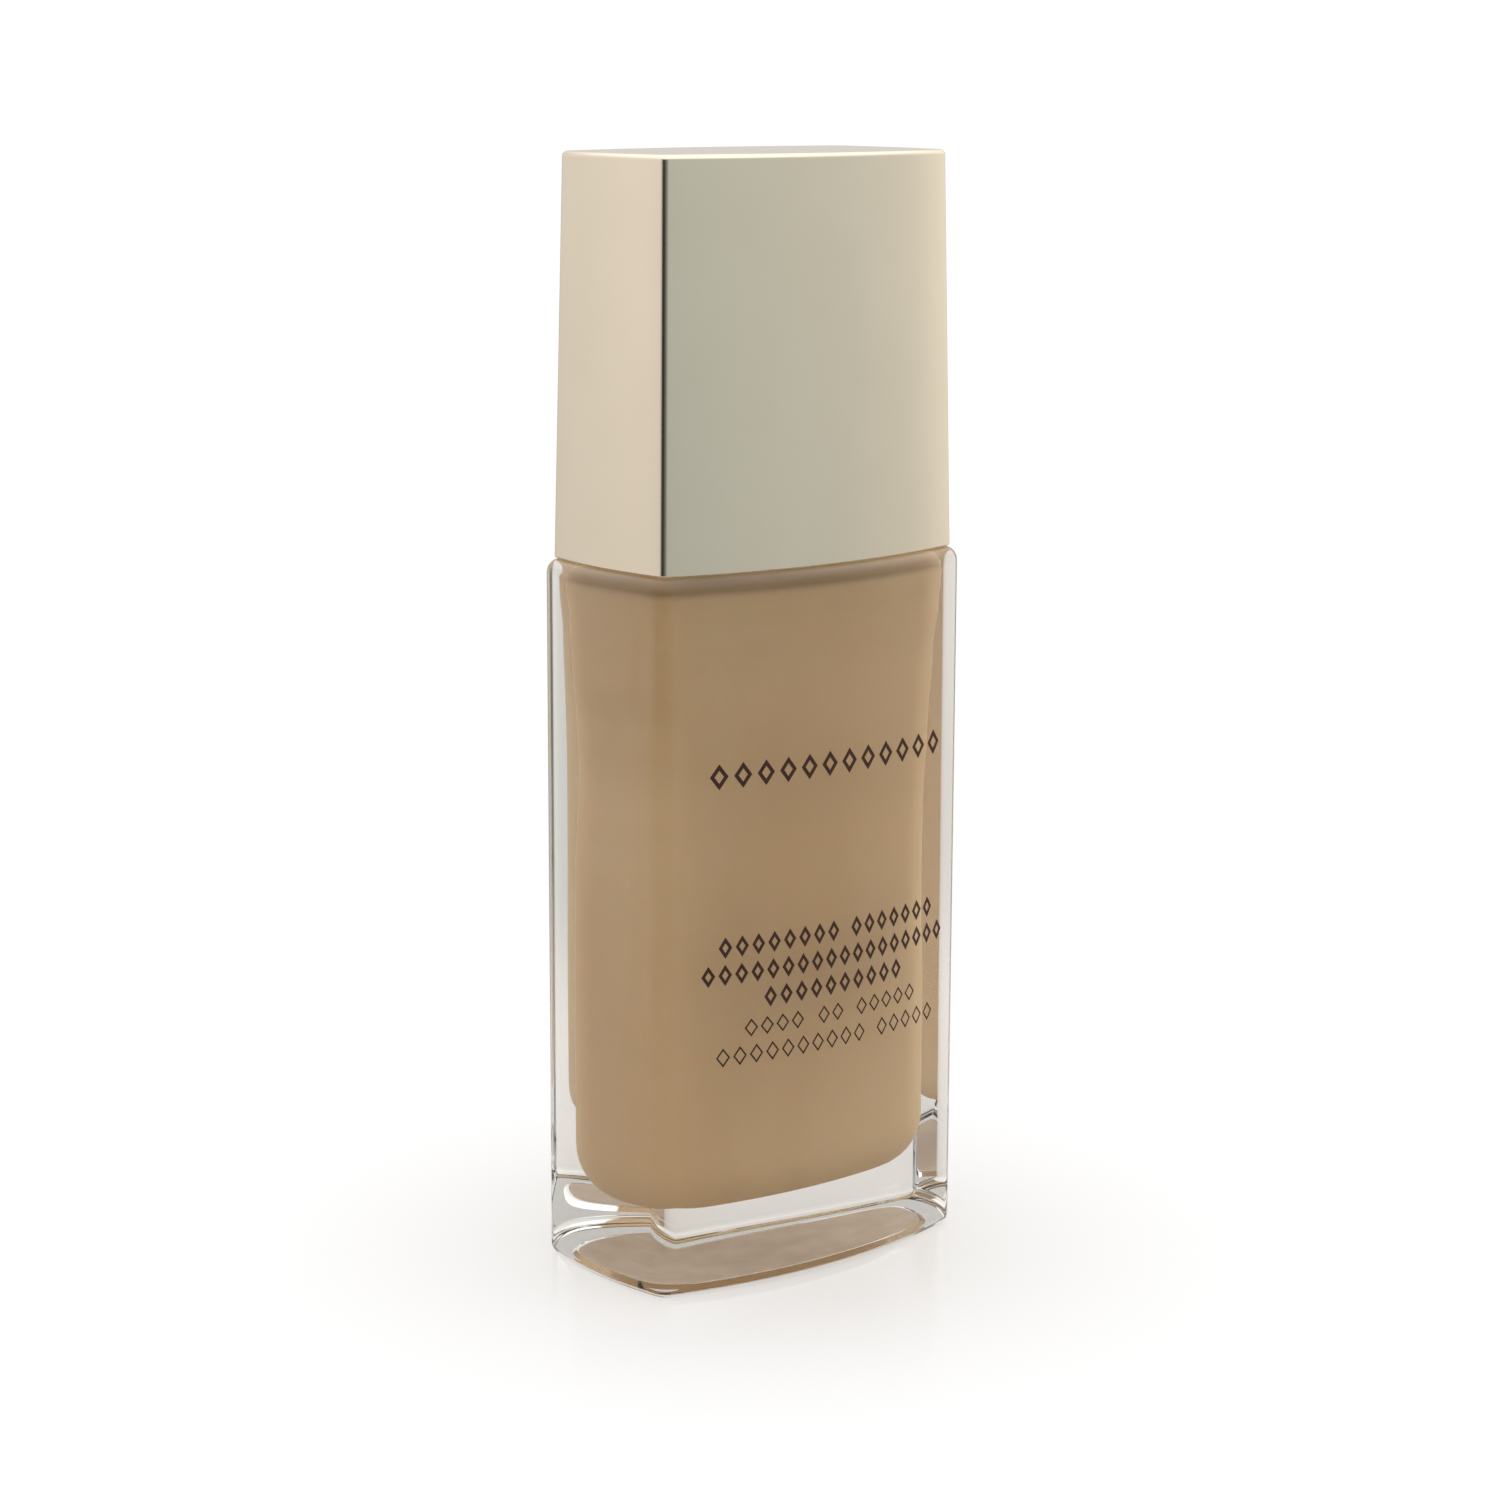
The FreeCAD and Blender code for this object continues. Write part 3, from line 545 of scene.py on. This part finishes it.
def noise(nodes, links, scale, detail, stretch=(1, 1, 1)):
    """Noise fixed to the object, with features 1/scale metres across."""
    place = nodes.new("ShaderNodeTexCoord")
    mapping = nodes.new("ShaderNodeMapping")
    mapping.inputs["Scale"].default_value = stretch
    texture = nodes.new("ShaderNodeTexNoise")
    texture.inputs["Scale"].default_value = scale
    texture.inputs["Detail"].default_value = detail
    links.new(place.outputs["Object"], mapping.inputs["Vector"])
    links.new(mapping.outputs["Vector"], texture.inputs["Vector"])
    return texture.outputs["Fac"]


def colour_between(nodes, links, factor, first, second):
    ramp = nodes.new("ShaderNodeValToRGB")
    ramp.color_ramp.elements[0].position = 0.35
    ramp.color_ramp.elements[0].color = (*first, 1)
    ramp.color_ramp.elements[1].position = 0.65
    ramp.color_ramp.elements[1].color = (*second, 1)
    links.new(factor, ramp.inputs["Fac"])
    return ramp.outputs["Color"]


def value_between(nodes, links, factor, low, high):
    spread = nodes.new("ShaderNodeMapRange")
    spread.inputs["To Min"].default_value = low
    spread.inputs["To Max"].default_value = high
    links.new(factor, spread.inputs["Value"])
    return spread.outputs["Result"]


def bump(nodes, links, height, distance, strength=1.0):
    node = nodes.new("ShaderNodeBump")
    node.inputs["Distance"].default_value = distance
    node.inputs["Strength"].default_value = strength
    links.new(height, node.inputs["Height"])
    return node.outputs["Normal"]


def clear_glass():
    """Clear glass that lets lamplight through to what is inside it."""
    material, nodes, links, shader = new_material("clear_glass")
    shader.inputs["Base Color"].default_value = (0.90, 0.905, 0.895, 1)
    shader.inputs["Transmission Weight"].default_value = 1
    shader.inputs["Roughness"].default_value = 0
    shader.inputs["IOR"].default_value = 1.5
    ray = nodes.new("ShaderNodeLightPath")
    clear = nodes.new("ShaderNodeBsdfTransparent")
    mix = nodes.new("ShaderNodeMixShader")
    output = nodes["Material Output"]
    links.new(ray.outputs["Is Shadow Ray"], mix.inputs["Fac"])
    links.new(shader.outputs["BSDF"], mix.inputs[1])
    links.new(clear.outputs["BSDF"], mix.inputs[2])
    links.new(mix.outputs["Shader"], output.inputs["Surface"])
    return material


def makeup_liquid():
    """Opaque creamy beige, a little uneven in tone where it clings to the glass."""
    material, nodes, links, shader = new_material("makeup_liquid")
    broad = noise(nodes, links, 60, 3, (1, 1, 0.5))
    colour = colour_between(nodes, links, broad, (0.63, 0.42, 0.205), (0.665, 0.465, 0.245))
    links.new(colour, shader.inputs["Base Color"])
    shader.inputs["Subsurface Weight"].default_value = 1
    shader.inputs["Subsurface Radius"].default_value = (1.6, 1.0, 0.6)
    shader.inputs["Subsurface Scale"].default_value = 1 * MM
    links.new(value_between(nodes, links, broad, 0.45, 0.6), shader.inputs["Roughness"])
    return material


def satin_metal():
    """Anodised aluminium in pale champagne gold: a fine even grain under a satin sheen."""
    material, nodes, links, shader = new_material("satin_gold_metal")
    grain = noise(nodes, links, 9000, 2)
    broad = noise(nodes, links, 120, 2)
    colour = colour_between(nodes, links, broad, (0.735, 0.665, 0.535), (0.75, 0.68, 0.55))
    links.new(colour, shader.inputs["Base Color"])
    shader.inputs["Metallic"].default_value = 1
    links.new(value_between(nodes, links, grain, 0.15, 0.19), shader.inputs["Roughness"])
    links.new(bump(nodes, links, grain, 0.002 * MM, 0.15), shader.inputs["Normal"])
    return material


def moulding(name, first, second, roughness, transmission=0.0):
    """Moulded plastic with a faint spark-eroded grain."""
    material, nodes, links, shader = new_material(name)
    grain = noise(nodes, links, 4000, 3)
    broad = noise(nodes, links, 150, 2)
    links.new(colour_between(nodes, links, broad, first, second), shader.inputs["Base Color"])
    links.new(value_between(nodes, links, grain, roughness - 0.06, roughness + 0.06),
              shader.inputs["Roughness"])
    links.new(bump(nodes, links, grain, 0.004 * MM), shader.inputs["Normal"])
    shader.inputs["Transmission Weight"].default_value = transmission
    return material


def bright_steel():
    material, nodes, links, shader = new_material("bright_steel")
    drawn = noise(nodes, links, 2500, 2, (1, 1, 0.1))
    links.new(colour_between(nodes, links, drawn, (0.55, 0.55, 0.56), (0.62, 0.62, 0.63)),
              shader.inputs["Base Color"])
    shader.inputs["Metallic"].default_value = 1
    links.new(value_between(nodes, links, drawn, 0.16, 0.28), shader.inputs["Roughness"])
    return material


def print_ink():
    """Dark brown screen-printed ink, slightly uneven."""
    material, nodes, links, shader = new_material("print_ink")
    grain = noise(nodes, links, 3000, 3)
    links.new(colour_between(nodes, links, grain, (0.035, 0.012, 0.008), (0.05, 0.018, 0.012)),
              shader.inputs["Base Color"])
    links.new(value_between(nodes, links, grain, 0.6, 0.75), shader.inputs["Roughness"])
    shader.inputs["Specular IOR Level"].default_value = 0.25
    return material


def label_film():
    """Plain matte film, faintly mottled by the glue behind it."""
    material, nodes, links, shader = new_material("label_film")
    mottle = noise(nodes, links, 220, 4)
    links.new(colour_between(nodes, links, mottle, (0.60, 0.49, 0.38), (0.71, 0.60, 0.49)),
              shader.inputs["Base Color"])
    shader.inputs["Roughness"].default_value = 0.7
    return material


MATERIALS = {
    "clear_glass": clear_glass(),
    "makeup_liquid": makeup_liquid(),
    "satin_gold_metal": satin_metal(),
    "white_moulding": moulding("white_moulding", (0.78, 0.77, 0.74), (0.8, 0.79, 0.76), 0.42),
    "natural_moulding": moulding("natural_moulding", (0.72, 0.72, 0.70), (0.75, 0.75, 0.73), 0.38),
    "gasket_foam": moulding("gasket_foam", (0.74, 0.74, 0.72), (0.79, 0.79, 0.77), 0.75),
    "bright_steel": bright_steel(),
    "label_film": label_film(),
    "print_ink": print_ink(),
}

for subpart in frame["record"]["subparts"]:
    node_mesh = frame["nodes"][subpart["node"]].data
    node_mesh.materials.clear()
    node_mesh.materials.append(MATERIALS[subpart["material_slot"]])

build_glass(MATERIALS["clear_glass"])
build_liquid(MATERIALS["makeup_liquid"])
build_label(MATERIALS["label_film"])
build_cap(MATERIALS["satin_gold_metal"])
build_print(MATERIALS["print_ink"])
build_spring(MATERIALS["bright_steel"])


# ---- Floor ----

def floor_material():
    """Pale glossy sweep that glows faintly, like a light table.

    Away from the object the camera sees it turn evenly white, and other rays pass through to the room.
    """
    material, nodes, links, shader = new_material("floor")
    shader.inputs["Base Color"].default_value = (0.36, 0.345, 0.33, 1)
    shader.inputs["Emission Color"].default_value = (1, 0.97, 0.93, 1)
    shader.inputs["Emission Strength"].default_value = 0.28
    shader.inputs["Roughness"].default_value = 0.18
    shader.inputs["Specular IOR Level"].default_value = 0.4
    place = nodes.new("ShaderNodeTexCoord")
    distance = nodes.new("ShaderNodeVectorMath")
    distance.operation = "LENGTH"
    seen_fade = nodes.new("ShaderNodeMapRange")
    bounced_fade = nodes.new("ShaderNodeMapRange")
    for fade, start, end in ((seen_fade, -14 * MM, 61 * MM), (bounced_fade, 60 * MM, 150 * MM)):
        fade.interpolation_type = "SMOOTHSTEP"
        fade.inputs["From Min"].default_value = start
        fade.inputs["From Max"].default_value = end
        links.new(distance.outputs["Value"], fade.inputs["Value"])
    fade = nodes.new("ShaderNodeMix")
    white = nodes.new("ShaderNodeEmission")
    white.inputs["Color"].default_value = (1, 1, 1, 1)
    white.inputs["Strength"].default_value = BACKDROP_STRENGTH
    room = nodes.new("ShaderNodeBsdfTransparent")
    ray = nodes.new("ShaderNodeLightPath")
    far = nodes.new("ShaderNodeMixShader")
    mix = nodes.new("ShaderNodeMixShader")
    links.new(ray.outputs["Is Camera Ray"], far.inputs["Fac"])
    links.new(room.outputs["BSDF"], far.inputs[1])
    links.new(white.outputs["Emission"], far.inputs[2])
    links.new(place.outputs["Object"], distance.inputs[0])
    links.new(ray.outputs["Is Camera Ray"], fade.inputs["Factor"])
    links.new(bounced_fade.outputs["Result"], fade.inputs["A"])
    links.new(seen_fade.outputs["Result"], fade.inputs["B"])
    links.new(fade.outputs["Result"], mix.inputs["Fac"])
    links.new(shader.outputs["BSDF"], mix.inputs[1])
    links.new(far.outputs["Shader"], mix.inputs[2])
    links.new(mix.outputs["Shader"], nodes["Material Output"].inputs["Surface"])
    return material


def build_floor():
    half = FLOOR_HALF_WIDTH
    corners = [(-half, -half, 0), (half, -half, 0), (half, half, 0), (-half, half, 0)]
    mesh = bpy.data.meshes.new("floor")
    mesh.from_pydata(corners, [], [(0, 1, 2, 3)])
    mesh.materials.append(floor_material())
    floor = bpy.data.objects.new("floor", mesh)
    bpy.context.scene.collection.objects.link(floor)


build_floor()


# ---- Studio light ----

# The room round the object, by azimuth in degrees: 0 is in front, 90 on the right, -90 on the left
ROOM = [
    (-180, (0.64, 0.61, 0.58)),
    (-165, (0.91, 0.87, 0.84)),
    (-122, (0.98, 0.93, 0.90)),
    (-108, (0.66, 0.65, 0.63)),
    (-94, (0.60, 0.60, 0.58)),
    (-80, (0.47, 0.47, 0.46)),
    (-20, (0.47, 0.48, 0.47)),
    (4, (0.62, 0.65, 0.64)),
    (40, (0.69, 0.71, 0.69)),
    (62, (0.80, 0.79, 0.76)),
    (85, (1.15, 1.09, 1.03)),
    (110, (0.72, 0.69, 0.66)),
    (180, (0.64, 0.61, 0.58)),
]
# A dark card stands in front on the left: how much light is left, by azimuth and by height
CARD_ACROSS = [(-94, 1), (-87, 0.1), (-60, 0.03), (-38, 0.3), (-18, 0.7), (4, 1)]
CARD_UP = [(-0.22, 1), (-0.17, 0), (0.10, 0), (0.18, 1)]
OVERHEAD = (1.5, 1.48, 1.45)

def around(azimuth, elevation, distance, target):
    """Point seen from the target at this azimuth (0 in front, 90 on the right) and elevation."""
    a, e = math.radians(azimuth), math.radians(elevation)
    return target + Vector((math.sin(a) * math.cos(e), -math.cos(a) * math.cos(e), math.sin(e))) * distance


def ramp(nodes, links, value, stops, first, last):
    """Colour that follows the value through the (value, colour) stops."""
    node = nodes.new("ShaderNodeValToRGB")
    node.color_ramp.interpolation = "EASE"
    elements = node.color_ramp.elements
    for index, (level, colour) in enumerate(stops):
        position = (level - first) / (last - first)
        element = elements[index] if index < len(elements) else elements.new(position)
        element.position = position
        element.color = (*colour, 1)
    links.new(value, node.inputs["Fac"])
    return node.outputs["Color"]


def grey(stops):
    return [(level, (share, share, share)) for level, share in stops]


def studio_world():
    """White behind the object, and for what it reflects a soft room that changes with direction."""
    world = bpy.data.worlds.new("studio")
    bpy.context.scene.world = world
    world.use_nodes = True
    nodes, links = world.node_tree.nodes, world.node_tree.links
    heading = nodes.new("ShaderNodeTexCoord")
    turn = nodes.new("ShaderNodeMapping")
    turn.inputs["Rotation"].default_value = (0, 0, math.radians(90))
    sweep = nodes.new("ShaderNodeTexGradient")
    sweep.gradient_type = "RADIAL"
    walls = ramp(nodes, links, sweep.outputs["Fac"], ROOM, -180, 180)
    card_across = ramp(nodes, links, sweep.outputs["Fac"], grey(CARD_ACROSS), -180, 180)
    split = nodes.new("ShaderNodeSeparateXYZ")
    level = nodes.new("ShaderNodeMapRange")
    level.inputs["From Min"].default_value = -1
    level.inputs["From Max"].default_value = 1
    card_up = ramp(nodes, links, level.outputs["Result"], grey(CARD_UP), -1, 1)
    card = nodes.new("ShaderNodeMix")
    card.data_type = "RGBA"
    card.blend_type = "LIGHTEN"
    card.inputs["Factor"].default_value = 1
    shaded = nodes.new("ShaderNodeMix")
    shaded.data_type = "RGBA"
    shaded.blend_type = "MULTIPLY"
    shaded.inputs["Factor"].default_value = 1
    height = nodes.new("ShaderNodeMapRange")
    height.interpolation_type = "SMOOTHSTEP"
    height.inputs["From Min"].default_value = 0.25
    height.inputs["From Max"].default_value = 0.75
    blend = nodes.new("ShaderNodeMix")
    blend.data_type = "RGBA"
    blend.inputs["B"].default_value = (*OVERHEAD, 1)
    room = nodes["Background"]
    dimming = nodes.new("ShaderNodeMapRange")
    dimming.inputs["From Min"].default_value = -0.2
    dimming.inputs["From Max"].default_value = 0.1
    dimming.inputs["To Min"].default_value = 0.84
    dimming.inputs["To Max"].default_value = 1.11
    backdrop = nodes.new("ShaderNodeBackground")
    backdrop.inputs["Color"].default_value = (1, 1, 1, 1)
    backdrop.inputs["Strength"].default_value = BACKDROP_STRENGTH
    ray = nodes.new("ShaderNodeLightPath")
    mix = nodes.new("ShaderNodeMixShader")
    links.new(heading.outputs["Generated"], turn.inputs["Vector"])
    links.new(turn.outputs["Vector"], sweep.inputs["Vector"])
    links.new(heading.outputs["Generated"], split.inputs["Vector"])
    links.new(split.outputs["Z"], height.inputs["Value"])
    links.new(split.outputs["Z"], level.inputs["Value"])
    links.new(card_across, card.inputs["A"])
    links.new(card_up, card.inputs["B"])
    links.new(walls, shaded.inputs["A"])
    links.new(card.outputs["Result"], shaded.inputs["B"])
    links.new(height.outputs["Result"], blend.inputs["Factor"])
    links.new(shaded.outputs["Result"], blend.inputs["A"])
    links.new(blend.outputs["Result"], room.inputs["Color"])
    links.new(split.outputs["Z"], dimming.inputs["Value"])
    links.new(dimming.outputs["Result"], room.inputs["Strength"])
    links.new(ray.outputs["Is Camera Ray"], mix.inputs["Fac"])
    links.new(room.outputs["Background"], mix.inputs[1])
    links.new(backdrop.outputs["Background"], mix.inputs[2])
    links.new(mix.outputs["Shader"], nodes["World Output"].inputs["Surface"])


studio_world()


def build_lamp():
    """Large soft lamp on the right, too weak to show as a highlight."""
    target = Vector((0, 0, 40 * MM))
    lamp = bpy.data.lights.new("side_lamp", "AREA")
    lamp.size = 0.3
    lamp.energy = 0.75
    holder = bpy.data.objects.new("side_lamp", lamp)
    bpy.context.scene.collection.objects.link(holder)
    holder.location = around(70, 25, 0.8, target)
    holder.rotation_euler = (target - holder.location).to_track_quat("-Z", "Y").to_euler()
    holder.visible_glossy = False
    holder.visible_transmission = False


build_lamp()


# ---- Camera ----

def build_camera():
    """Front left of the bottle, from a little above its cap, looking down at it."""
    distance = 338.5 * MM
    azimuth = -39.19
    height = 119.43 * MM
    heading = 39.12
    pitch = 10.73
    roll = 0.21
    camera = bpy.data.cameras.new("camera")
    camera.sensor_width = 36
    camera.lens = 83.12
    camera.shift_y = -0.03
    camera.clip_start = 0.01
    holder = bpy.data.objects.new("camera", camera)
    bpy.context.scene.collection.objects.link(holder)
    holder.location = around(azimuth, 0, distance, Vector((0, 0, height)))
    look = Matrix.Rotation(-math.radians(heading), 4, "Z") @ Matrix.Rotation(math.radians(90 - pitch), 4, "X")
    holder.matrix_world = (Matrix.Translation(holder.location) @ look
                           @ Matrix.Rotation(math.radians(roll), 4, "Z"))
    bpy.context.scene.camera = holder


build_camera()
bpy.context.scene.view_settings.view_transform = "Standard"
